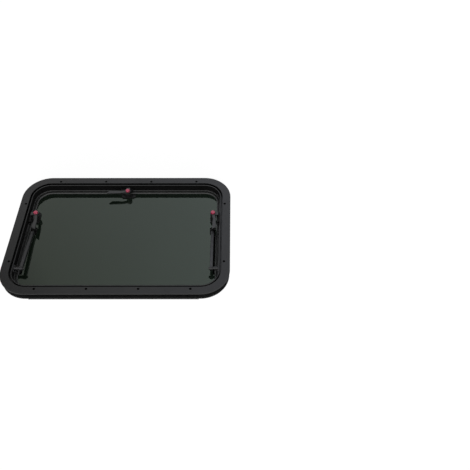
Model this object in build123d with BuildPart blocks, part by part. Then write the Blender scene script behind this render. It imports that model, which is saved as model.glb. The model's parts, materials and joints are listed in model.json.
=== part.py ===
"""Top-hung caravan window: a frame clamped to the wall, a tinted pane, turning latches and telescopic stays.

The window stands upright: X runs along its width, Z is up, the room is on the -Y side.
The origin lies on the wall-side face of the outer flange, in the middle of its bottom strip.
Insets are measured inwards from the outer edge of the clamp ring, depths towards the room from the
origin's plane, and heights towards the room from the pane's inner face.
"""

import os

from build123d import *

# Clamp ring on the room side of the wall
ring_width = 650.0
ring_height = 450.0
ring_corner = 83.0
ring_band = 24.4
ring_thickness = 2.6
ring_edge_chamfer = 0.6

# Screw holes in the clamp ring
screw_pitch_x = 144.0
screw_pitch_side = 224.0
screw_inset = 17.5
screw_hole_radius = 3.6

# Wall between the two flanges
wall_thickness = 22.0

# Outer frame: flange on the outer side, reveal wall with a bevelled sill, a lip and a screw channel
flange_inset = 2.0
flange_thickness = 2.6
flange_edge_chamfer = 1.0
reveal_inset = 32.2
reveal_wall = 2.8
sill_width = 2.6
sill_rise = 1.0
sill_bevel = 0.8
lip_drop = 2.0
lip_chamfer = 0.7
channel_depth = 10.0
channel_web = 1.6
channel_width = 4.6
channel_wall = 1.6
ring_clearance = 0.3

# Rubber seal and pane
seal_outer_inset = 23.0
seal_lip = 8.4
seal_lip_height = 2.0
seal_thickness = 3.8
pane_inset = 17.0
pane_thickness = 5.0
pane_edge_chamfer = 0.7

# Hinge along the top edge, on the outer side
hinge_end_inset = 90.0
hinge_inset = 11.5
hinge_foot_height = 9.0
hinge_foot_thickness = 2.2
hinge_curl_radius = 5.0
hinge_curl_wall = 1.5
hinge_curl_out = 9.4
hinge_bead_clearance = 0.3
hinge_mouth_from = -85.0
hinge_mouth_to = 5.0
hinge_leaf_height = 19.0
hinge_leaf_thickness = 1.8
hinge_cap_thickness = 2.5
hinge_cap_margin = 0.5

# Latches: pivot boss on the pane, lever with a tongue, push button, keeper on the reveal wall
latch_inset = 53.5
side_latch_rise = 146.0
base_length = 46.0
base_width = 17.0
base_thickness = 3.0
base_corner = 6.0
boss_radius = 7.4
boss_height = 15.3
spindle_radius = 3.0
spindle_length = 4.0
spindle_clearance = 0.1
hub_gap = 0.3
hub_radius = 8.8
hub_height = 10.6
lever_length = 66.0
lever_crank = 24.0
lever_offset = 4.6
lever_root_width = 8.4
lever_tip_width = 12.0
lever_tip_slant = 9.0
lever_tip_corner = 2.0
lever_thickness = 4.6
lever_tip_rise = 1.0
lever_bend = 38.0
tongue_width = 12.0
tongue_thickness = 8.0
tongue_ramp = 3.0
tongue_to_wall = 5.0
button_radius = 6.4
button_clearance = 0.3
button_height = 7.4
button_proud = 4.2
button_travel = 2.4
keeper_gap = 0.6
keeper_ahead = 26.0
keeper_behind = 12.0
keeper_reach = 9.0
keeper_root = 3.5
keeper_nose = 2.4
keeper_height = 5.6

# Telescopic stays: bracket and pin on the reveal wall, tube, rod, foot and pin on the pane
stay_inset = 53.7
stay_bracket_inset = 95.0
stay_foot_under_lever = 13.0
stay_bracket_height = 21.0
stay_foot_height = 8.6
tube_width = 9.0
tube_height = 11.0
tube_corner = 1.5
tube_collar_step = 1.0
rod_show = 14.0
tube_collar_length = 7.0
tube_plug = 16.0
rod_radius = 3.4
rod_end_gap = 12.0
rod_clearance = 0.3
eye_radius = 6.6
eye_width = 9.0
eye_gap = 0.5
pin_radius = 3.5
pin_clearance = 0.1
pin_proud = 4.0
bracket_length = 24.0
bracket_height = 10.0
bracket_thickness = 2.5
bracket_corner = 3.0
bracket_boss_radius = 5.0
rod_eye_radius = 4.6
rod_eye_width = 7.6
foot_length = 30.0
foot_width = 17.0
foot_thickness = 2.4
foot_corner = 4.0
foot_ear = 2.6
foot_ear_half = 4.6
foot_ear_corner = 2.4
foot_pin_radius = 2.4
foot_pin_proud = 1.0

# Places that follow from the sizes above
TO_ROOM = (0, -1, 0)
flange_strip = reveal_inset - flange_inset
centre_z = ring_height / 2 - flange_inset - flange_strip / 2
ring_front = wall_thickness + ring_thickness
lip_top = ring_front - lip_drop
channel_inner = screw_inset + channel_width / 2
channel_outer = screw_inset - channel_width / 2
relief_inset = channel_outer - channel_wall - ring_clearance
pane_face = flange_thickness + seal_thickness
reveal_x = ring_width / 2 - reveal_inset
latch_to_wall = latch_inset - reveal_inset
hub_foot = boss_height + hub_gap
hub_top = hub_foot + hub_height
hinge_length = ring_width - 2 * hinge_end_inset
side_latch_z = side_latch_rise - ring_height / 2
stay_bracket_z = ring_height / 2 - stay_bracket_inset
stay_foot_z = side_latch_z + lever_length - stay_foot_under_lever


def facing_room(depth):
    """Plane parallel to the wall, centred on the window, at a depth towards the room."""
    return Plane(origin=(0, -depth, centre_z), x_dir=(1, 0, 0), z_dir=TO_ROOM)


def on_pane(x, z, run):
    """Plane on the pane's inner face with its first axis along run."""
    return Plane(origin=(x, pane_face, centre_z + z), x_dir=run, z_dir=TO_ROOM)


def panel(inset, mode=Mode.ADD):
    """Rounded rectangle that follows the clamp ring's outline at an inset."""
    RectangleRounded(
        ring_width - 2 * inset, ring_height - 2 * inset, ring_corner - inset, mode=mode
    )


def band(outer, inner):
    """Rounded rectangular band between two insets."""
    panel(outer)
    panel(inner, Mode.SUBTRACT)


def save(piece, name):
    """Labels a finished piece and writes it to its own file."""
    piece.part.label = name
    export_step(piece.part, f"parts/{name}.step")


os.makedirs("parts", exist_ok=True)

# Outer frame: flange with a bevelled sill, reveal wall up to the lip, and a channel for the ring's screws
with BuildPart() as outer_frame:
    with BuildSketch(facing_room(-flange_thickness)):
        band(flange_inset, reveal_inset + sill_width)
    extrude(amount=flange_thickness + sill_rise)
    sill_rim = outer_frame.faces().sort_by(Axis.Y)[0].inner_wires()[0].edges()
    chamfer(sill_rim, sill_bevel)
    with BuildSketch(facing_room(0)):
        band(flange_inset, reveal_inset - reveal_wall)
    extrude(amount=sill_rise, mode=Mode.SUBTRACT)
    flat_faces = outer_frame.faces().filter_by(Plane.XZ).sort_by(Axis.Y)
    flange_rims = flat_faces[1].outer_wire().edges() + flat_faces[2].outer_wire().edges()
    chamfer(flange_rims, flange_edge_chamfer)
    with BuildSketch(facing_room(0)):
        band(reveal_inset - reveal_wall, reveal_inset)
    extrude(amount=lip_top)
    lip_rims = outer_frame.faces().sort_by(Axis.Y)[0].edges()
    chamfer(lip_rims, lip_chamfer)
    with BuildSketch(facing_room(channel_depth)):
        band(channel_outer - channel_wall, reveal_inset - reveal_wall)
    extrude(amount=channel_web)
    with BuildSketch(facing_room(channel_depth)):
        band(channel_outer - channel_wall, channel_outer)
        band(channel_inner, channel_inner + channel_wall)
    extrude(amount=wall_thickness - channel_depth)
save(outer_frame, "outer_frame")

# Clamp ring: flat band with an eased outer edge, relieved behind over the screw channel, with screw holes
with BuildPart() as clamp_ring:
    with BuildSketch(facing_room(wall_thickness)):
        band(0, ring_band)
    extrude(amount=ring_thickness)
    front_rim = clamp_ring.faces().sort_by(Axis.Y)[0].outer_wire().edges()
    chamfer(front_rim, ring_edge_chamfer)
    with BuildSketch(facing_room(wall_thickness)):
        band(relief_inset, ring_band)
    extrude(amount=ring_clearance, mode=Mode.SUBTRACT)
    row_height = ring_height - 2 * screw_inset
    side_width = ring_width - 2 * screw_inset
    for width, height in (
        (screw_pitch_x, row_height),
        (3 * screw_pitch_x, row_height),
        (side_width, screw_pitch_side),
    ):
        with Locations(facing_room(ring_front)):
            with GridLocations(width, height, 2, 2):
                Hole(screw_hole_radius, ring_thickness)
save(clamp_ring, "clamp_ring")

# Seal: strip under the flange with a lip that shows inside the reveal
with BuildPart() as sash_seal:
    with BuildSketch(facing_room(-pane_face)):
        band(seal_outer_inset, reveal_inset + sill_width)
    extrude(amount=seal_thickness)
    with BuildSketch(facing_room(-pane_face)):
        band(reveal_inset, reveal_inset + sill_width + seal_lip)
    extrude(amount=seal_lip_height)
save(sash_seal, "sash_seal")

# Pane with a ground outer edge
with BuildPart() as glass_pane:
    with BuildSketch(facing_room(-pane_face - pane_thickness)):
        panel(pane_inset)
    extrude(amount=pane_thickness)
    outer_rim = glass_pane.faces().sort_by(Axis.Y)[-1].edges()
    chamfer(outer_rim, pane_edge_chamfer)
save(glass_pane, "glass_pane")

# Hinge: a curl on the flange holds the bead of the leaf, which is bonded to the pane
pane_top = centre_z + ring_height / 2 - pane_inset
pane_outer = pane_face + pane_thickness
curl_z = centre_z + ring_height / 2 - hinge_inset
curl_centre = (hinge_curl_out, curl_z)
curl_bore = hinge_curl_radius - hinge_curl_wall
leaf_y = pane_outer + hinge_leaf_thickness / 2
hinge_start = Plane.YZ.offset(-hinge_length / 2)

with BuildPart() as hinge_rail:
    with BuildSketch(hinge_start):
        with Locations((flange_thickness + hinge_foot_thickness / 2, curl_z)):
            Rectangle(hinge_foot_thickness, hinge_foot_height)
        with Locations(((flange_thickness + hinge_curl_out) / 2, curl_z)):
            Rectangle(hinge_curl_out - flange_thickness, hinge_curl_radius)
        with Locations(curl_centre):
            Circle(hinge_curl_radius)
            Circle(curl_bore, mode=Mode.SUBTRACT)
        with BuildLine():
            mouth = Vector(2 * hinge_curl_radius, 0)
            Polyline(
                curl_centre,
                Vector(curl_centre) + mouth.rotate(Axis.Z, hinge_mouth_from),
                Vector(curl_centre) + mouth.rotate(Axis.Z, hinge_mouth_to),
                close=True,
            )
        make_face(mode=Mode.SUBTRACT)
    extrude(amount=hinge_length)
save(hinge_rail, "hinge_rail")

with BuildPart() as hinge_leaf:
    with BuildSketch(hinge_start):
        with Locations(curl_centre):
            Circle(curl_bore - hinge_bead_clearance)
        neck_end = Vector(leaf_y, pane_top)
        SlotCenterPoint((Vector(curl_centre) + neck_end) / 2, neck_end, hinge_leaf_thickness)
        with Locations((leaf_y, pane_top - hinge_leaf_height / 2)):
            Rectangle(hinge_leaf_thickness, hinge_leaf_height)
    extrude(amount=hinge_length)
save(hinge_leaf, "hinge_leaf")

for name, end in (("left_hinge_cap", -1), ("right_hinge_cap", 1)):
    with BuildPart() as hinge_cap:
        with BuildSketch(Plane.YZ.offset(end * hinge_length / 2)):
            with Locations(curl_centre):
                Circle(hinge_curl_radius + hinge_cap_margin)
            with Locations(((flange_thickness + hinge_curl_out) / 2, curl_z)):
                Rectangle(hinge_curl_out - flange_thickness, hinge_foot_height)
        extrude(amount=end * hinge_cap_thickness)
    save(hinge_cap, name)

# Latches, each with its pivot on the pane, the way its lever lies when locked, and its wall's side
side_latch_x = ring_width / 2 - latch_inset
bottom_latch_z = latch_inset - ring_height / 2
latches = {
    "bottom": (0, bottom_latch_z, (1, 0, 0), -1),
    "left": (-side_latch_x, side_latch_z, (0, 0, 1), 1),
    "right": (side_latch_x, side_latch_z, (0, 0, 1), -1),
}
tongue_reach = latch_to_wall - tongue_to_wall
lever_low = hub_top - lever_thickness
pocket_floor = hub_top + button_proud - button_height - button_travel - button_clearance
keeper_top = hub_foot - keeper_gap

for name, (x, z, run, wall_side) in latches.items():
    latch = on_pane(x, z, run)
    along_lever = Plane(latch.origin, x_dir=latch.x_dir, z_dir=latch.x_dir.cross(latch.z_dir))
    along_tongue = Plane(latch.origin, x_dir=-wall_side * latch.x_dir, z_dir=wall_side * latch.y_dir)

    # Base: plate with two cut corners on the side away from the wall, round boss and spindle
    with BuildPart() as latch_base:
        with BuildSketch(latch):
            plate = Rectangle(base_length, base_width)
            away = plate.vertices().sort_by(Axis((0, 0, 0), (0, -wall_side, 0)))[-2:]
            chamfer(away, base_corner)
        extrude(amount=base_thickness)
        with BuildSketch(latch):
            Circle(boss_radius)
        extrude(amount=boss_height)
        with BuildSketch(latch):
            Circle(spindle_radius)
        extrude(amount=boss_height + spindle_length)
    save(latch_base, f"{name}_latch_base")

    # Lever: cranked arm with an upturned tip cut back on the wall's side, hub, ramped tongue, stepped bore
    with BuildPart() as latch_lever:
        with BuildSketch(latch.offset(lever_low)):
            with BuildLine():
                low_cut = lever_tip_slant if wall_side < 0 else 0
                high_cut = lever_tip_slant - low_cut
                low_edge = lever_offset - lever_tip_width / 2
                high_edge = lever_offset + lever_tip_width / 2
                Polyline(
                    (0, -lever_root_width / 2),
                    (lever_crank, lever_offset - lever_root_width / 2),
                    (lever_length - low_cut, low_edge),
                    (lever_length - high_cut, high_edge),
                    (lever_crank, lever_offset + lever_root_width / 2),
                    (0, lever_root_width / 2),
                    close=True,
                )
            make_face()
        extrude(amount=lever_thickness + lever_tip_rise)
        tip_edges = latch_lever.edges().filter_by(Axis.Y).sort_by(Axis(latch.origin, latch.x_dir))[-2:]
        chamfer(tip_edges, lever_tip_corner)
        with BuildSketch(along_lever):
            with BuildLine():
                tip_low = lever_low + lever_tip_rise
                tip_top = hub_top + lever_tip_rise
                Line((0, lever_low), (lever_bend, lever_low))
                TangentArc((lever_bend, lever_low), (lever_length, tip_low), tangent=(1, 0))
                Line((lever_length, tip_low), (lever_length, tip_top))
                TangentArc((lever_bend, hub_top), (lever_length, tip_top), tangent=(1, 0))
                Line((lever_bend, hub_top), (0, hub_top))
                Line((0, hub_top), (0, lever_low))
            make_face()
        extrude(amount=lever_offset + lever_tip_width, both=True, mode=Mode.INTERSECT)
        with BuildSketch(latch.offset(hub_foot)):
            Circle(hub_radius)
        extrude(amount=hub_height)
        with BuildSketch(along_tongue):
            with Locations((0, hub_foot + tongue_thickness / 2)):
                section = Rectangle(tongue_width, tongue_thickness)
            lower = section.vertices().sort_by(Axis.Y)[:2]
            chamfer(lower, tongue_ramp)
        extrude(amount=tongue_reach)
        with Locations(latch.offset(hub_top)):
            CounterBoreHole(
                spindle_radius + spindle_clearance,
                button_radius + button_clearance,
                hub_top - pocket_floor,
            )
    save(latch_lever, f"{name}_latch_lever")

    # Button: round cap that sinks into the pocket in the lever's hub
    with BuildPart() as latch_button:
        with BuildSketch(latch.offset(hub_top + button_proud - button_height)):
            Circle(button_radius)
        extrude(amount=button_height)
    save(latch_button, f"{name}_latch_button")

    # Keeper: wedge-shaped ledge on the reveal wall, under the tongue and beside the lever
    with BuildPart() as latch_keeper:
        keeper_middle = (keeper_ahead - keeper_behind) / 2
        keeper_length = keeper_ahead + keeper_behind
        with BuildSketch(latch.offset(keeper_top - keeper_height)):
            with Locations((keeper_middle, wall_side * (latch_to_wall - keeper_root / 2))):
                Rectangle(keeper_length, keeper_root)
        with BuildSketch(latch.offset(keeper_top - keeper_nose)):
            with Locations((keeper_middle, wall_side * (latch_to_wall - keeper_reach / 2))):
                Rectangle(keeper_length, keeper_reach)
        loft()
        with BuildSketch(latch.offset(keeper_top - keeper_nose)):
            with Locations((keeper_middle, wall_side * (latch_to_wall - keeper_reach / 2))):
                Rectangle(keeper_length, keeper_reach)
        extrude(amount=keeper_nose)
    save(latch_keeper, f"{name}_latch_keeper")

# Stays, from the pin on the reveal wall down to the foot on the pane
stay_to_wall = stay_inset - reveal_inset
boss_end = stay_to_wall - eye_width / 2 - eye_gap
collar_width = tube_width + 2 * tube_collar_step
collar_height = tube_height + 2 * tube_collar_step
for name, side in (("left", -1), ("right", 1)):
    stay_x = side * (ring_width / 2 - stay_inset)
    top_pivot = Vector(stay_x, pane_face - stay_bracket_height, centre_z + stay_bracket_z)
    low_pivot = Vector(stay_x, pane_face - stay_foot_height, centre_z + stay_foot_z)
    stay_run = Plane(top_pivot, x_dir=(1, 0, 0), z_dir=low_pivot - top_pivot)
    stay_length = (low_pivot - top_pivot).length
    tube_length = stay_length - rod_show
    rod_start = tube_plug + rod_end_gap
    across_top = Plane(top_pivot, x_dir=(0, 1, 0), z_dir=(1, 0, 0))
    across_low = Plane(low_pivot, x_dir=(0, 1, 0), z_dir=(1, 0, 0))
    wall_foot = (side * reveal_x, top_pivot.Y, top_pivot.Z)
    from_wall = Plane(wall_foot, x_dir=(0, 0, 1), z_dir=(-side, 0, 0))
    foot = on_pane(stay_x, stay_foot_z, (1, 0, 0))

    # Bracket: plate on the reveal wall with a boss that carries the pin
    with BuildPart() as stay_bracket:
        with BuildSketch(from_wall):
            plate = Rectangle(bracket_length, bracket_height)
            chamfer(plate.vertices(), bracket_corner)
        extrude(amount=bracket_thickness)
        with BuildSketch(from_wall):
            Circle(bracket_boss_radius)
        extrude(amount=boss_end)
    save(stay_bracket, f"{name}_stay_bracket")

    # Pin: stands on the bracket's boss and passes through the tube's eye
    with BuildPart() as stay_pin:
        with BuildSketch(from_wall.offset(boss_end)):
            Circle(pin_radius)
        extrude(amount=eye_gap + eye_width + pin_proud)
    save(stay_pin, f"{name}_stay_pin")

    # Tube: flat-sided, with an eye on the pin, a bore for the rod and a collar at its mouth
    with BuildPart() as stay_tube:
        with BuildSketch(stay_run):
            RectangleRounded(tube_width, tube_height, tube_corner)
        extrude(amount=tube_length)
        with BuildSketch(stay_run.offset(tube_length - tube_collar_length)):
            RectangleRounded(collar_width, collar_height, tube_corner + tube_collar_step)
        extrude(amount=tube_collar_length)
        with BuildSketch(across_top):
            Circle(eye_radius)
        extrude(amount=eye_width / 2, both=True)
        with BuildSketch(across_top):
            Circle(pin_radius + pin_clearance)
        extrude(amount=eye_width, both=True, mode=Mode.SUBTRACT)
        with BuildSketch(stay_run.offset(tube_plug)):
            Circle(rod_radius + rod_clearance)
        extrude(amount=tube_length, mode=Mode.SUBTRACT)
    save(stay_tube, f"{name}_stay_tube")

    # Rod: slides in the tube and ends in an eye between the foot's ears
    with BuildPart() as stay_rod:
        with BuildSketch(stay_run.offset(rod_start)):
            Circle(rod_radius)
        extrude(amount=stay_length - rod_start)
        with BuildSketch(across_low):
            Circle(rod_eye_radius)
        extrude(amount=rod_eye_width / 2, both=True)
        with BuildSketch(across_low):
            Circle(foot_pin_radius + pin_clearance)
        extrude(amount=rod_eye_width, both=True, mode=Mode.SUBTRACT)
    save(stay_rod, f"{name}_stay_rod")

    # Foot: plate on the pane with two ears
    with BuildPart() as stay_foot:
        ear_inner = rod_eye_width / 2 + eye_gap
        with BuildSketch(foot):
            plate = Rectangle(foot_width, foot_length)
            chamfer(plate.vertices(), foot_corner)
        extrude(amount=foot_thickness)
        with BuildSketch(across_low):
            with Locations(((stay_foot_height - foot_ear_half) / 2, 0)):
                ear = Rectangle(stay_foot_height + foot_ear_half, 2 * foot_ear_half)
            chamfer(ear.vertices().sort_by(Axis.X)[:2], foot_ear_corner)
        extrude(amount=ear_inner + foot_ear, both=True)
        with BuildSketch(foot.offset(foot_thickness)):
            Rectangle(2 * ear_inner, foot_length)
        extrude(amount=stay_foot_height + foot_ear_half, mode=Mode.SUBTRACT)
        with BuildSketch(across_low):
            Circle(foot_pin_radius + pin_clearance)
        extrude(amount=foot_width, both=True, mode=Mode.SUBTRACT)
    save(stay_foot, f"{name}_stay_foot")

    # Pin through the ears and the rod's eye
    with BuildPart() as foot_pin:
        with BuildSketch(across_low):
            Circle(foot_pin_radius)
        extrude(amount=ear_inner + foot_ear + foot_pin_proud, both=True)
    save(foot_pin, f"{name}_foot_pin")
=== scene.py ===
"""Looks of a top-hung caravan window: finishes, edges, seal, buttons, screws, floor, light and camera."""

import json
import math

import bmesh
import bpy
from mathutils import Matrix, Vector


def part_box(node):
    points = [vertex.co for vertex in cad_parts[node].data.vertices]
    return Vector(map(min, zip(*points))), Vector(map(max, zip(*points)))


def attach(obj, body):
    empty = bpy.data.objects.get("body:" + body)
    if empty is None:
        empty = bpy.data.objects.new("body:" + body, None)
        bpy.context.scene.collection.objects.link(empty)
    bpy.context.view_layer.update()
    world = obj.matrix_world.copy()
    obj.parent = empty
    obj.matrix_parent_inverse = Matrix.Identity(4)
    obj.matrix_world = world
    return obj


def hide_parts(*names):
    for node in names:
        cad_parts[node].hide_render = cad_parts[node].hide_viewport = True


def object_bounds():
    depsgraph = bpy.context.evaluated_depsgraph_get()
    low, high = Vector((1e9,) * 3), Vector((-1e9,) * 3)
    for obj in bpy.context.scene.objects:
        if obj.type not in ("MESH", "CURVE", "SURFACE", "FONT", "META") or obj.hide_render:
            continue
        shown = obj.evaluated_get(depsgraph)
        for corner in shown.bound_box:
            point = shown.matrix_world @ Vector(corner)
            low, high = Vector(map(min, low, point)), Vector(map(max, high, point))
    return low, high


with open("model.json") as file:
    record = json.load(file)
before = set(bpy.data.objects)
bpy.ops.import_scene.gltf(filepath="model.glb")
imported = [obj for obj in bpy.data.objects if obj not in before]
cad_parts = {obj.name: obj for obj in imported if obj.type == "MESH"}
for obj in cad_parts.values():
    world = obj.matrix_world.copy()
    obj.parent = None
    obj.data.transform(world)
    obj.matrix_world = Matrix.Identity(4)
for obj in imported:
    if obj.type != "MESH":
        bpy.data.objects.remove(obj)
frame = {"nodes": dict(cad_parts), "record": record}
cad_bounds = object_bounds()

MM = 0.001
TO_ROOM = Vector((0, -1, 0))
UPRIGHT = Vector((0, 0, 1))
nodes = frame["nodes"]

# The clamp ring's box and the pane's face toward the room place the rest
ring_low, ring_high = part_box("clamp_ring")
ring_width = ring_high.x - ring_low.x
ring_height = ring_high.z - ring_low.z
ring_front = ring_low.y
centre_z = (ring_low.z + ring_high.z) / 2
pane_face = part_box("glass_pane")[0].y

# Sides with their signs along X, and latches with the direction in which their bases lie
SIDES = (("left", -1), ("right", 1))
LATCHES = {"bottom": Vector((1, 0, 0)), "left": UPRIGHT, "right": UPRIGHT}

# Camera, fitted to the outline of the clamp ring's front face in a square picture. It stands away from
# the middle of that face by the last three values, in ring widths.
PICTURE_SIDE = 470
SENSOR_WIDTH = 36.0
FOCAL_PIXELS = 611.6
CLIP_START = 0.01
CAMERA_PITCH = math.radians(50.155)
CAMERA_TURN = math.radians(-0.0597)
CAMERA_ROLL = math.radians(-0.0814)
CAMERA_ACROSS = -0.52378
CAMERA_OUT = -2.139
CAMERA_UP = 1.80712

# Floor and light: in mirrors and glass, the floor's glow falls off along X
FLOOR_SIZE = 40.0
FLOOR_COLOUR = (0.8, 0.8, 0.8, 1)
FLOOR_ROUGHNESS = 0.9
FLOOR_GLOW = 1.13
FLOOR_SHADOW_SHARE = 0.18
MIRROR_GLOW = 1.6
MIRROR_FROM = -0.3
MIRROR_TO = 0.8
MIRROR_STOPS = ((0.0, (0.97, 1.0, 1.08)), (0.62, (0.66, 0.66, 0.66)), (1.0, (0.06, 0.06, 0.06)))
WORLD_COLOUR = (1.0, 1.0, 1.0, 1)
WORLD_LIGHT = 0.75
WORLD_SHOWN = 2.0

# Rounded edges, by the name that a node ends in
EDGE_ROUND = {
    "outer_frame": 0.28 * MM,
    "hinge_rail": 0.25 * MM,
    "hinge_leaf": 0.25 * MM,
    "hinge_cap": 0.5 * MM,
    "latch_base": 0.3 * MM,
    "latch_lever": 0.6 * MM,
    "latch_keeper": 0.6 * MM,
    "stay_bracket": 0.15 * MM,
    "stay_tube": 0.25 * MM,
    "stay_rod": 0.2 * MM,
    "stay_foot": 0.4 * MM,
    "stay_pin": 0.5 * MM,
    "foot_pin": 0.4 * MM,
}
EDGE_SEGMENTS = 3
SHARP_ANGLE = math.radians(38)
FLAT_ANGLE = math.radians(0.2)
WELD_DISTANCE = 0.002 * MM

# Nodes with holes, whose flat faces stay divided
PERFORATED = ("latch_base",)

# Middle of a noise's range, which a finish spreads over its own range
NOISE_LOW = 0.3
NOISE_HIGH = 0.7

# A face looks along Y where its normal has at least this share of Y
FACING = 0.5

# Outer frame, as insets from the clamp ring's edge. Faces within the last distance of the flange's wall
# side belong to the flange or the sill.
CHANNEL_FROM = 14.5 * MM
CHANNEL_TO = 22.5 * MM
FLANGE_TO = 29.4 * MM
SILL_FROM = 32.3 * MM
NEAR_FLANGE = 3.0 * MM

# Clamp ring: radius of its corners, and insets where its rim and its screw holes end
RING_CORNER = 83.0 * MM
CORNER_STEPS = 24
RIM_TO = 3.0 * MM
HOLES_TO = 21.0 * MM

# Packing strip between the ring and the frame, in the darkest coat, a dark sheet that paints shade inside
# the screw holes: insets, depth behind the ring's front and thickness
SHADING_PAD_FROM = 13.7 * MM
SHADING_PAD_TO = 15.0 * MM
SHADING_PAD_DEPTH = 2.25 * MM
SHADING_PAD_HEIGHT = 0.5 * MM

# Seal: flat strip under the flange, thin web over the pane and a lip that slopes down to the pane,
# as insets from the clamp ring's edge and heights over the pane, in millimetres
SEAL_STRIP = ((23.0, 0.0), (23.0, 3.8), (34.8, 3.8), (34.8, 2.0), (38.8, 2.4))
SEAL_LIP = ((39.2, 3.6), (39.7, 3.9), (40.2, 3.85), (42.4, 2.4), (42.7, 1.9))
SEAL_FOOT = (42.5, 0.0)

# Rubbing strips on the pane beside the stays: a ledge under the tube, in the darkest coat as painted shade
# beside the tube, and a bar beside the seal, as insets and heights like those of the seal. They start this
# far above the stay's foot.
RUB_SHADE_LEDGE = ((50.5, 0.0), (50.5, 0.8), (44.9, 0.8))
RUB_BAR = ((44.8, 1.9), (44.5, 2.2), (43.5, 2.2), (43.2, 1.9), (43.1, 0.0))
RUB_CLEARANCE = 1.0 * MM

# Button: rounded shoulder, slightly crowned top and a chamfer at the foot, as a share of the radius
BUTTON_SHOULDER = 1.7 * MM
BUTTON_CROWN = 0.35 * MM
BUTTON_FOOT = 0.06
BUTTON_SIDES = 64
BUTTON_STEPS = 8

# Screw heads: profile and cross recess, as shares of the head's radius and height
HEAD_RADIUS = 2.5 * MM
HEAD_HEIGHT = 1.2 * MM
HEAD_SIDES = 40
HEAD_PROFILE = ((1.0, 0.0), (1.0, 0.3), (0.97, 0.55), (0.88, 0.8), (0.74, 0.95), (0.64, 1.0))
RECESS_REACH = 0.56
RECESS_HALF = 0.13
RECESS_DEPTH = 0.6
RECESS_TAPER = 0.7

# Pairs of screws on latch bases, stay feet and stay brackets: distance of each from the middle of the
# piece, and thickness of the piece there
BASE_SCREW = 17.0 * MM
BASE_TOP = 3.0 * MM
FOOT_SCREW = 10.6 * MM
FOOT_TOP = 2.4 * MM
BRACKET_SCREW = 8.6 * MM
BRACKET_TOP = 2.5 * MM


class Finish:
    """A node material around one shader, with short calls for textures in the object's coordinates."""

    def __init__(self, name, **constants):
        self.material = bpy.data.materials.new(name)
        self.material.use_nodes = True
        self.tree = self.material.node_tree
        self.shader = self.tree.nodes["Principled BSDF"]
        for socket, value in constants.items():
            self.shader.inputs[socket.replace("_", " ")].default_value = value

    def add(self, kind, **values):
        """A new node with its inputs set or linked."""
        node = self.tree.nodes.new(kind)
        for socket, value in values.items():
            self.feed(node.inputs[socket.replace("_", " ")], value)
        return node

    def feed(self, socket, value):
        """Sets a socket, or links it to another node's output."""
        if isinstance(value, bpy.types.NodeSocket):
            self.tree.links.new(value, socket)
        else:
            socket.default_value = value

    def place(self, stretch):
        """Object coordinates, stretched along the axes."""
        where = self.add("ShaderNodeTexCoord").outputs["Object"]
        return self.add("ShaderNodeMapping", Vector=where, Scale=stretch).outputs["Vector"]

    def noise(self, scale, detail, stretch=(1, 1, 1)):
        """Cloudy noise with scale cells a metre."""
        node = self.add("ShaderNodeTexNoise", Vector=self.place(stretch), Scale=scale, Detail=detail)
        return node.outputs["Fac"]

    def ramp(self, value, stops):
        """Colour that runs through stops, each a place and a colour."""
        node = self.add("ShaderNodeValToRGB", Fac=value)
        elements = node.color_ramp.elements
        for place, _ in stops[1:-1]:
            elements.new(place)
        for element, (place, colour) in zip(elements, stops):
            element.position = place
            element.color = (*colour, 1)
        return node.outputs["Color"]

    def mix(self, share, first, second):
        """Shader between a first and a second one."""
        node = self.add("ShaderNodeMixShader", Fac=share)
        self.feed(node.inputs[1], first)
        self.feed(node.inputs[2], second)
        return node.outputs["Shader"]

    def tint(self, value, dark, light):
        """Colour between dark and light."""
        colour = self.ramp(value, ((NOISE_LOW, dark), (NOISE_HIGH, light)))
        self.feed(self.shader.inputs["Base Color"], colour)

    def rough(self, value, low, high):
        """Roughness between low and high."""
        node = self.add("ShaderNodeMapRange", Value=value, From_Min=NOISE_LOW, From_Max=NOISE_HIGH)
        node.inputs["To Min"].default_value = low
        node.inputs["To Max"].default_value = high
        self.feed(self.shader.inputs["Roughness"], node.outputs["Result"])

    def bump(self, value, height, strength):
        """Fine relief of the given height in metres."""
        node = self.add("ShaderNodeBump", Height=value, Distance=height, Strength=strength)
        self.feed(self.shader.inputs["Normal"], node.outputs["Normal"])


def powder_coat(name, dark, light, rough, gloss):
    """Black powder coat with a fine orange-peel relief."""
    finish = Finish(name, Specular_IOR_Level=gloss)
    finish.tint(finish.noise(scale=14, detail=5), dark, light)
    finish.rough(finish.noise(scale=60, detail=4), *rough)
    finish.bump(finish.noise(scale=1300, detail=2), height=0.05 * MM, strength=0.35)
    return finish.material


def rubber(name, rough, gloss):
    """Black sealing rubber."""
    finish = Finish(name, Specular_IOR_Level=gloss)
    mottle = finish.noise(scale=40, detail=5)
    finish.tint(mottle, dark=(0.011, 0.0115, 0.011), light=(0.018, 0.0185, 0.018))
    finish.rough(finish.noise(scale=90, detail=4), *rough)
    finish.bump(finish.noise(scale=2200, detail=3), height=0.03 * MM, strength=0.4)
    return finish.material


def tinted_glass():
    """Dark green-grey pane with a trace of haze."""
    finish = Finish("tinted_glass", Transmission_Weight=1.0, IOR=1.5, Specular_Tint=(0.86, 1.0, 0.84, 1))
    mottle = finish.noise(scale=6, detail=2)
    finish.tint(mottle, dark=(0.0032, 0.0052, 0.0034), light=(0.004, 0.0062, 0.0042))
    finish.rough(finish.noise(scale=25, detail=4), low=0.0, high=0.025)
    finish.bump(finish.noise(scale=9, detail=1), height=0.1 * MM, strength=0.02)
    return finish.material


def moulded_plastic(name, dark, light, rough, gloss):
    """Black moulded plastic with a fine grain."""
    finish = Finish(name, Specular_IOR_Level=gloss)
    finish.tint(finish.noise(scale=70, detail=4), dark, light)
    finish.rough(finish.noise(scale=160, detail=4), *rough)
    finish.bump(finish.noise(scale=2600, detail=2), height=0.04 * MM, strength=0.5)
    return finish.material


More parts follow.
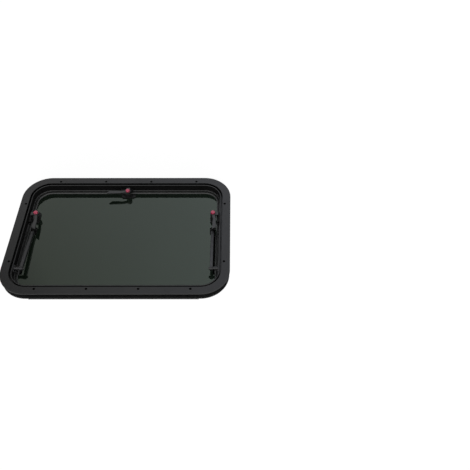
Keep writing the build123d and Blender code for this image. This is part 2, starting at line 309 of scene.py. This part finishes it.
def red_plastic():
    """Glossy red plastic of the push buttons."""
    finish = Finish("gloss_red_plastic", Specular_IOR_Level=0.5, Coat_Weight=0.25, Coat_Roughness=0.08)
    mottle = finish.noise(scale=220, detail=3)
    finish.tint(mottle, dark=(0.42, 0.013, 0.062), light=(0.52, 0.022, 0.088))
    finish.rough(finish.noise(scale=320, detail=3), low=0.16, high=0.3)
    finish.bump(finish.noise(scale=2400, detail=2), height=0.02 * MM, strength=0.4)
    return finish.material


def dark_metal(name, dark, light, stretch, gloss):
    """Black anodised or oxidised metal, with drawn lines where the noise is stretched."""
    finish = Finish(name, Metallic=0.55, Specular_IOR_Level=gloss)
    finish.tint(finish.noise(scale=900, detail=3, stretch=stretch), dark, light)
    finish.rough(finish.noise(scale=700, detail=3, stretch=stretch), low=0.28, high=0.42)
    finish.bump(finish.noise(scale=1500, detail=2, stretch=stretch), height=0.03 * MM, strength=0.3)
    return finish.material


# Finishes of the record's slots
finishes = {
    "frame_black": powder_coat(
        "satin_black_powder_coat",
        dark=(0.0035, 0.0035, 0.0037),
        light=(0.0058, 0.0058, 0.0058),
        rough=(0.33, 0.45),
        gloss=0.37,
    ),
    "seal_rubber": rubber("matt_rubber", rough=(0.5, 0.66), gloss=0.35),
    "tinted_glass": tinted_glass(),
    "fitting_black": moulded_plastic(
        "moulded_black_plastic",
        dark=(0.008, 0.008, 0.0082),
        light=(0.013, 0.013, 0.013),
        rough=(0.34, 0.48),
        gloss=0.46,
    ),
    "button_red": red_plastic(),
    "stay_metal": dark_metal(
        "black_anodised_tube",
        dark=(0.016, 0.016, 0.017),
        light=(0.03, 0.03, 0.031),
        stretch=(1, 1, 0.03),
        gloss=0.35,
    ),
    "pin_steel": dark_metal(
        "black_oxide_steel",
        dark=(0.02, 0.02, 0.02),
        light=(0.045, 0.045, 0.044),
        stretch=(1, 1, 1),
        gloss=0.4,
    ),
}

# Finishes of single nodes, faces and new pieces: darker copies of the coat and plastic that paint shade, a
# lighter one that paints light, a lighter and glossier one that paints a highlight, and a smoother rubber
# Darker, matt copy of the frame's coat: painted shade on the hinge and on the frame's reveal wall; the stay
# rods and feet take it too
matt_painted_shade_coat = powder_coat(
    "matt_black_painted_shade_coat",
    dark=(0.002, 0.002, 0.002),
    light=(0.004, 0.004, 0.004),
    rough=(0.6, 0.75),
    gloss=0.09,
)
# Darkest, dullest copy of the coat: painted shade in the screw channel, on the walls of the screw holes, on
# the packing strip behind the ring and on the ledges beside the stay tubes
painted_shade_coat = powder_coat(
    "painted_shade_black_coat",
    dark=(0.0015, 0.0015, 0.0015),
    light=(0.003, 0.003, 0.003),
    rough=(0.7, 0.85),
    gloss=0.02,
)
# Darker, matt copy of the fittings' plastic: painted shade on the latch bases and keepers under the tongues
matt_painted_shade_plastic = moulded_plastic(
    "matt_black_painted_shade_plastic",
    dark=(0.002, 0.002, 0.002),
    light=(0.004, 0.004, 0.004),
    rough=(0.5, 0.65),
    gloss=0.2,
)
# Less glossy copy of the coat: painted shade on the outer rims of the frame and the clamp ring
rim_painted_shade_coat = powder_coat(
    "rim_painted_shade_powder_coat",
    dark=(0.004, 0.004, 0.0042),
    light=(0.008, 0.008, 0.008),
    rough=(0.5, 0.65),
    gloss=0.13,
)
# Lighter copy of the coat: painted light on the flange's face, which lies in the ring's shade
flange_painted_light_coat = powder_coat(
    "flange_painted_light_powder_coat",
    dark=(0.009, 0.009, 0.0095),
    light=(0.015, 0.015, 0.015),
    rough=(0.5, 0.62),
    gloss=0.3,
)
# Lighter, glossier copy of the coat: painted highlight on the sill
sill_painted_highlight_coat = powder_coat(
    "sill_painted_highlight_powder_coat",
    dark=(0.005, 0.005, 0.0052),
    light=(0.008, 0.008, 0.008),
    rough=(0.25, 0.36),
    gloss=0.5,
)
lip_rubber = rubber("smooth_rubber", rough=(0.3, 0.42), gloss=0.42)
# The hinge and the latch bases and keepers take darker copies, painted shade; the stay rods and feet take
# the darker coat too
finish_of_ending = {
    "hinge_rail": matt_painted_shade_coat,
    "hinge_leaf": matt_painted_shade_coat,
    "latch_base": matt_painted_shade_plastic,
    "latch_keeper": matt_painted_shade_plastic,
    "stay_rod": matt_painted_shade_coat,
    "stay_foot": matt_painted_shade_coat,
}


def dress(piece, material):
    """Gives a piece one finish."""
    piece.data.materials.clear()
    piece.data.materials.append(material)


def add_finishes(piece, *materials):
    """Adds finishes to a piece, and returns their slot numbers."""
    first = len(piece.data.materials)
    for material in materials:
        piece.data.materials.append(material)
    return range(first, first + len(materials))


def soften(piece, width, join_flat):
    """Rounds the sharp edges of a CAD node in the render."""
    piece.data.shade_smooth()
    if "custom_normal" in piece.data.attributes:
        piece.data.attributes.remove(piece.data.attributes["custom_normal"])
    weld = piece.modifiers.new("weld", "WELD")
    weld.merge_threshold = WELD_DISTANCE
    if join_flat:
        flat = piece.modifiers.new("flat_faces", "DECIMATE")
        flat.decimate_type = "DISSOLVE"
        flat.angle_limit = FLAT_ANGLE
    edge = piece.modifiers.new("rounded_edges", "BEVEL")
    edge.width = width
    edge.segments = EDGE_SEGMENTS
    edge.limit_method = "ANGLE"
    edge.angle_limit = SHARP_ANGLE
    edge.use_clamp_overlap = False
    edge.harden_normals = True


for part in frame["record"]["subparts"]:
    piece = nodes[part["node"]]
    dress(piece, finishes[part["material_slot"]])
    for ending, material in finish_of_ending.items():
        if part["node"].endswith(ending):
            dress(piece, material)
    for ending, width in EDGE_ROUND.items():
        if part["node"].endswith(ending):
            soften(piece, width, ending not in PERFORATED)


def ring_inset(x, z):
    """Distance of a place inside the clamp ring's outline."""
    across = abs(x) - ring_width / 2 + RING_CORNER
    along = abs(z - centre_z) - ring_height / 2 + RING_CORNER
    beyond = math.hypot(max(across, 0), max(along, 0)) + min(max(across, along), 0)
    return RING_CORNER - beyond


def shade_frame(piece):
    """Paints shade on the frame's reveal wall, outer side and screw channel with darker coats, light on the
    flange's face with a lighter coat and a highlight on the sill with a lighter, glossier coat.
    """
    matt, flange, sill, painted_shade, rim = add_finishes(
        piece, matt_painted_shade_coat, flange_painted_light_coat, sill_painted_highlight_coat, painted_shade_coat, rim_painted_shade_coat
    )
    for face in piece.data.polygons:
        inset = ring_inset(face.center.x, face.center.z)
        if face.center.y >= -NEAR_FLANGE:
            if inset < FLANGE_TO and face.normal.y < -FACING:
                face.material_index = flange
            elif inset > SILL_FROM and face.normal.y < FACING:
                face.material_index = sill
        elif inset < CHANNEL_FROM:
            face.material_index = rim
        elif inset < CHANNEL_TO:
            face.material_index = painted_shade
        elif abs(face.normal.y) < FACING:
            face.material_index = matt


def shade_ring(piece):
    """Paints shade on the clamp ring's outer rim with a less glossy coat and on the walls of its screw
    holes with the darkest coat.
    """
    rim, painted_shade = add_finishes(piece, rim_painted_shade_coat, painted_shade_coat)
    for face in piece.data.polygons:
        inset = ring_inset(face.center.x, face.center.z)
        if abs(face.normal.y) < FACING and inset < HOLES_TO:
            face.material_index = painted_shade if inset > RIM_TO else rim


shade_frame(nodes["outer_frame"])
shade_ring(nodes["clamp_ring"])


def to_mesh(bm, name):
    """Mesh of a bmesh, which is freed."""
    mesh = bpy.data.meshes.new(name)
    bm.to_mesh(mesh)
    bm.free()
    return mesh


def new_piece(mesh, body, slot_name):
    """Adds a mesh as a piece of the object that rides on a body and takes a slot's finish."""
    piece = bpy.data.objects.new(mesh.name, mesh)
    bpy.context.scene.collection.objects.link(piece)
    mesh.materials.append(finishes[slot_name])
    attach(piece, body)
    return piece


def rounded_loop(inset):
    """Points, X and Z, of a loop that follows the clamp ring's outline at an inset."""
    points = []
    radius = RING_CORNER - inset
    corner_x = ring_width / 2 - RING_CORNER
    corner_z = ring_height / 2 - RING_CORNER
    for quarter, (right, up) in enumerate(((1, 1), (-1, 1), (-1, -1), (1, -1))):
        for k in range(CORNER_STEPS + 1):
            angle = 0.5 * math.pi * (quarter + k / CORNER_STEPS)
            x = right * corner_x + radius * math.cos(angle)
            points.append((x, centre_z + up * corner_z + radius * math.sin(angle)))
    return points


def swept_loop(name, profile, second_from=0, second_to=0):
    """Sweeps a closed profile of insets and heights over the pane round the window.

    The faces of a stretch of the profile take the second finish.
    """
    bm = bmesh.new()
    loops = [
        [bm.verts.new((x, pane_face - height, z)) for x, z in rounded_loop(inset)]
        for inset, height in profile
    ]
    for row, loop in enumerate(loops):
        beside = loops[(row + 1) % len(loops)]
        for k in range(len(loop)):
            m = (k + 1) % len(loop)
            face = bm.faces.new((loop[k], loop[m], beside[m], beside[k]))
            face.material_index = int(second_from <= row < second_to)
    bmesh.ops.recalc_face_normals(bm, faces=bm.faces)
    mesh = to_mesh(bm, name)
    mesh.shade_smooth()
    mesh.set_sharp_from_angle(angle=SHARP_ANGLE)
    return mesh


def seal_mesh(name):
    """Seal swept round the pane, with the lip's faces in the second finish."""
    profile = [(inset * MM, height * MM) for inset, height in (*SEAL_STRIP, *SEAL_LIP, SEAL_FOOT)]
    lip_start = len(SEAL_STRIP)
    return swept_loop(name, profile, lip_start, lip_start + len(SEAL_LIP) - 1)


def shading_pad_mesh(name):
    """Flat strip swept round the window behind the clamp ring, which darkens the screw holes as painted
    shade.
    """
    top = pane_face - ring_front - SHADING_PAD_DEPTH
    low = top - SHADING_PAD_HEIGHT
    profile = ((SHADING_PAD_FROM, low), (SHADING_PAD_FROM, top), (SHADING_PAD_TO, top), (SHADING_PAD_TO, low))
    return swept_loop(name, profile)


def rubbing_shade_strip_mesh(name, side, start, end):
    """Strip along Z on one side of the pane, with its ledge in the second finish, which paints shade beside
    the tube.
    """
    bm = bmesh.new()
    profile = [
        (side * (ring_width / 2 - inset * MM), pane_face - height * MM)
        for inset, height in (*RUB_SHADE_LEDGE, *RUB_BAR)
    ]
    first, last = ([bm.verts.new((x, y, z)) for x, y in profile] for z in (start, end))
    for k in range(len(profile)):
        m = (k + 1) % len(profile)
        face = bm.faces.new((first[k], first[m], last[m], last[k]))
        face.material_index = int(k < len(RUB_SHADE_LEDGE) - 1)
    bm.faces.new(first)
    bm.faces.new(last)
    bmesh.ops.recalc_face_normals(bm, faces=bm.faces)
    return to_mesh(bm, name)


seal = new_piece(seal_mesh("lipped_seal"), "window", "seal_rubber")
add_finishes(seal, lip_rubber)
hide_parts("sash_seal")

# Packing strip behind the ring, in the darkest coat: painted shade inside the screw holes
shading_pad = new_piece(shading_pad_mesh("ring_shading_pad"), "window", "seal_rubber")
dress(shading_pad, painted_shade_coat)

for name, side in SIDES:
    foot_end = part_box(f"{name}_stay_foot")[1].z
    tube_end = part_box(f"{name}_stay_tube")[1].z
    mesh = rubbing_shade_strip_mesh(f"{name}_rubbing_shade_strip", side, foot_end + RUB_CLEARANCE, tube_end)
    strip = new_piece(mesh, "window", "seal_rubber")
    # The ledge takes the darkest coat: painted shade beside the stay's tube
    add_finishes(strip, painted_shade_coat)


def lathe(bm, profile, sides):
    """Turns a profile of radii and heights about Z, and returns its rings of vertices."""
    rings = []
    for radius, height in profile:
        ring = []
        for k in range(sides):
            angle = 2 * math.pi * k / sides
            ring.append(bm.verts.new((radius * math.cos(angle), radius * math.sin(angle), height)))
        rings.append(ring)
    for low, high in zip(rings, rings[1:]):
        for k in range(sides):
            m = (k + 1) % sides
            bm.faces.new((low[k], low[m], high[m], high[k]))
    return rings


def button_mesh(name, radius, height):
    """Round button with a rounded shoulder and a slightly crowned top."""
    bm = bmesh.new()
    foot = BUTTON_FOOT * radius
    profile = [(radius - foot, 0), (radius, foot)]
    for k in range(BUTTON_STEPS + 1):
        angle = 0.5 * math.pi * k / BUTTON_STEPS
        across = radius - BUTTON_SHOULDER * (1 - math.cos(angle))
        profile.append((across, height - BUTTON_CROWN - BUTTON_SHOULDER * (1 - math.sin(angle))))
    flat = radius - BUTTON_SHOULDER
    for k in range(1, BUTTON_STEPS):
        share = 1 - k / BUTTON_STEPS
        profile.append((flat * share, height - BUTTON_CROWN * share * share))
    rings = lathe(bm, profile, BUTTON_SIDES)
    bm.faces.new(reversed(rings[0]))
    bm.faces.new(rings[-1])
    mesh = to_mesh(bm, name)
    mesh.shade_smooth()
    return mesh


def from_axis(origin, axis):
    """Matrix that takes Z to an axis at an origin."""
    turn = UPRIGHT.rotation_difference(axis)
    return Matrix.Translation(origin) @ turn.to_matrix().to_4x4()


for name in LATCHES:
    low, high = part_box(f"{name}_latch_button")
    middle = (low + high) / 2
    mesh = button_mesh(f"{name}_button_cap", (high.x - low.x) / 2, high.y - low.y)
    mesh.transform(from_axis(Vector((middle.x, high.y, middle.z)), TO_ROOM))
    cap = new_piece(mesh, f"{name}_button", "button_red")
    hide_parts(f"{name}_latch_button")


def cross_outline():
    """Corners of the cross recess in the top of a screw head."""
    arm = RECESS_REACH * HEAD_RADIUS
    half = RECESS_HALF * HEAD_RADIUS
    corners = []
    for quarter in range(4):
        turn = Matrix.Rotation(quarter * math.pi / 2, 2)
        corners += [turn @ Vector(point) for point in ((arm, -half), (arm, half), (half, half))]
    return corners


def add_screw(bm, place):
    """Adds a pan head with a cross recess to a mesh."""
    head = bmesh.new()
    profile = [(across * HEAD_RADIUS, up * HEAD_HEIGHT) for across, up in HEAD_PROFILE]
    rim = lathe(head, profile, HEAD_SIDES)[-1]
    outline = cross_outline()
    count = len(outline)
    cross = [head.verts.new((p.x, p.y, HEAD_HEIGHT)) for p in outline]
    depth = (1 - RECESS_DEPTH) * HEAD_HEIGHT
    floor = [head.verts.new((RECESS_TAPER * p.x, RECESS_TAPER * p.y, depth)) for p in outline]
    edges = [head.edges.new((cross[k], cross[(k + 1) % count])) for k in range(count)]
    edges += [head.edges.get((rim[k], rim[(k + 1) % HEAD_SIDES])) for k in range(HEAD_SIDES)]
    bmesh.ops.triangle_fill(head, edges=edges, use_beauty=True, normal=UPRIGHT)
    for k in range(count):
        m = (k + 1) % count
        head.faces.new((cross[m], cross[k], floor[k], floor[m]))
    head.faces.new(floor)
    bmesh.ops.recalc_face_normals(head, faces=head.faces)
    head.transform(place)
    mesh = to_mesh(head, "head")
    bm.from_mesh(mesh)
    bpy.data.meshes.remove(mesh)


def screw_pair(name, middle, reach, axis):
    """One piece with two screw heads, at the ends of a reach to either side of a middle."""
    bm = bmesh.new()
    for spot in (middle - reach, middle + reach):
        add_screw(bm, from_axis(spot, axis))
    mesh = to_mesh(bm, name)
    mesh.shade_smooth()
    mesh.set_sharp_from_angle(angle=SHARP_ANGLE)
    new_piece(mesh, "window", "pin_steel")


for name, run in LATCHES.items():
    low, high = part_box(f"{name}_latch_base")
    middle = (low + high) / 2
    middle.y = pane_face - BASE_TOP
    screw_pair(f"{name}_base_screws", middle, BASE_SCREW * run, TO_ROOM)
for name, side in SIDES:
    low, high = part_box(f"{name}_stay_foot")
    middle = (low + high) / 2
    middle.y = pane_face - FOOT_TOP
    screw_pair(f"{name}_foot_screws", middle, FOOT_SCREW * UPRIGHT, TO_ROOM)
    low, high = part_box(f"{name}_stay_bracket")
    middle = (low + high) / 2
    wall = high.x if side > 0 else low.x
    middle.x = wall - side * BRACKET_TOP
    screw_pair(f"{name}_bracket_screws", middle, BRACKET_SCREW * UPRIGHT, Vector((-side, 0, 0)))


def light_paths(tree):
    """One where a ray comes from the camera, a reflection or through glass."""
    path = tree.nodes.new("ShaderNodeLightPath")
    total = path.outputs["Is Camera Ray"]
    for ray in ("Is Glossy Ray", "Is Transmission Ray"):
        either = tree.nodes.new("ShaderNodeMath")
        either.operation = "MAXIMUM"
        tree.links.new(total, either.inputs[0])
        tree.links.new(path.outputs[ray], either.inputs[1])
        total = either.outputs[0]
    return total


def floor_glow(finish):
    """Glow that is even where the camera looks, and falls off along X in mirrors and glass."""
    where = finish.add("ShaderNodeNewGeometry").outputs["Position"]
    across = finish.add("ShaderNodeSeparateXYZ", Vector=where).outputs["X"]
    reach = finish.add("ShaderNodeMapRange", Value=across, From_Min=MIRROR_FROM, From_Max=MIRROR_TO)
    colour = finish.ramp(reach.outputs["Result"], MIRROR_STOPS)
    mirrored = finish.add("ShaderNodeEmission", Color=colour, Strength=MIRROR_GLOW)
    seen = finish.add("ShaderNodeEmission", Strength=FLOOR_GLOW)
    straight = finish.add("ShaderNodeLightPath").outputs["Is Camera Ray"]
    return finish.mix(straight, mirrored.outputs["Emission"], seen.outputs["Emission"])


def white_floor():
    """White that is shown bright, with a share of the window's shadow."""
    finish = Finish("white_floor", Base_Color=FLOOR_COLOUR, Roughness=FLOOR_ROUGHNESS, Specular_IOR_Level=0)
    share = finish.add("ShaderNodeMapRange", Value=light_paths(finish.tree), To_Max=1 - FLOOR_SHADOW_SHARE)
    lit = finish.shader.outputs["BSDF"]
    surface = finish.mix(share.outputs["Result"], lit, floor_glow(finish))
    finish.feed(finish.tree.nodes["Material Output"].inputs["Surface"], surface)
    return finish.material


def make_floor():
    """Plain floor under the window."""
    half = FLOOR_SIZE / 2
    level = cad_bounds[0][2]
    corners = [(-half, -half, level), (half, -half, level), (half, half, level), (-half, half, level)]
    mesh = bpy.data.meshes.new("floor")
    mesh.from_pydata(corners, [], [(0, 1, 2, 3)])
    mesh.materials.append(white_floor())
    floor = bpy.data.objects.new("floor", mesh)
    bpy.context.scene.collection.objects.link(floor)


def make_world():
    """White surroundings that light the object at a plain level and show white."""
    world = bpy.data.worlds.new("white_world")
    bpy.context.scene.world = world
    world.use_nodes = True
    tree = world.node_tree
    background = tree.nodes["Background"]
    background.inputs["Color"].default_value = WORLD_COLOUR
    level = tree.nodes.new("ShaderNodeMapRange")
    level.inputs["To Min"].default_value = WORLD_LIGHT
    level.inputs["To Max"].default_value = WORLD_SHOWN
    tree.links.new(light_paths(tree), level.inputs["Value"])
    tree.links.new(level.outputs["Result"], background.inputs["Strength"])


def make_camera():
    """Camera at the photograph's viewing angle: from the room, with the bottom edge up in the picture."""
    sin_turn = math.sin(CAMERA_TURN)
    cos_turn = math.cos(CAMERA_TURN)
    sin_pitch = math.sin(CAMERA_PITCH)
    cos_pitch = math.cos(CAMERA_PITCH)
    forward = Vector((-cos_pitch * sin_turn, sin_pitch, -cos_pitch * cos_turn))
    level_right = Vector((-cos_turn, 0, sin_turn))
    level_up = level_right.cross(forward)
    right = math.cos(CAMERA_ROLL) * level_right + math.sin(CAMERA_ROLL) * level_up
    up = math.cos(CAMERA_ROLL) * level_up - math.sin(CAMERA_ROLL) * level_right
    lens = bpy.data.cameras.new("camera")
    lens.sensor_width = SENSOR_WIDTH
    lens.lens = FOCAL_PIXELS / PICTURE_SIDE * SENSOR_WIDTH
    lens.clip_start = CLIP_START
    camera = bpy.data.objects.new("camera", lens)
    camera.matrix_world = Matrix((right, up, -forward)).transposed().to_4x4()
    aim = Vector((0, ring_front, centre_z))
    camera.location = aim + ring_width * Vector((CAMERA_ACROSS, CAMERA_OUT, CAMERA_UP))
    bpy.context.scene.collection.objects.link(camera)
    bpy.context.scene.camera = camera


make_floor()
make_world()
make_camera()
bpy.context.scene.view_settings.view_transform = "Standard"
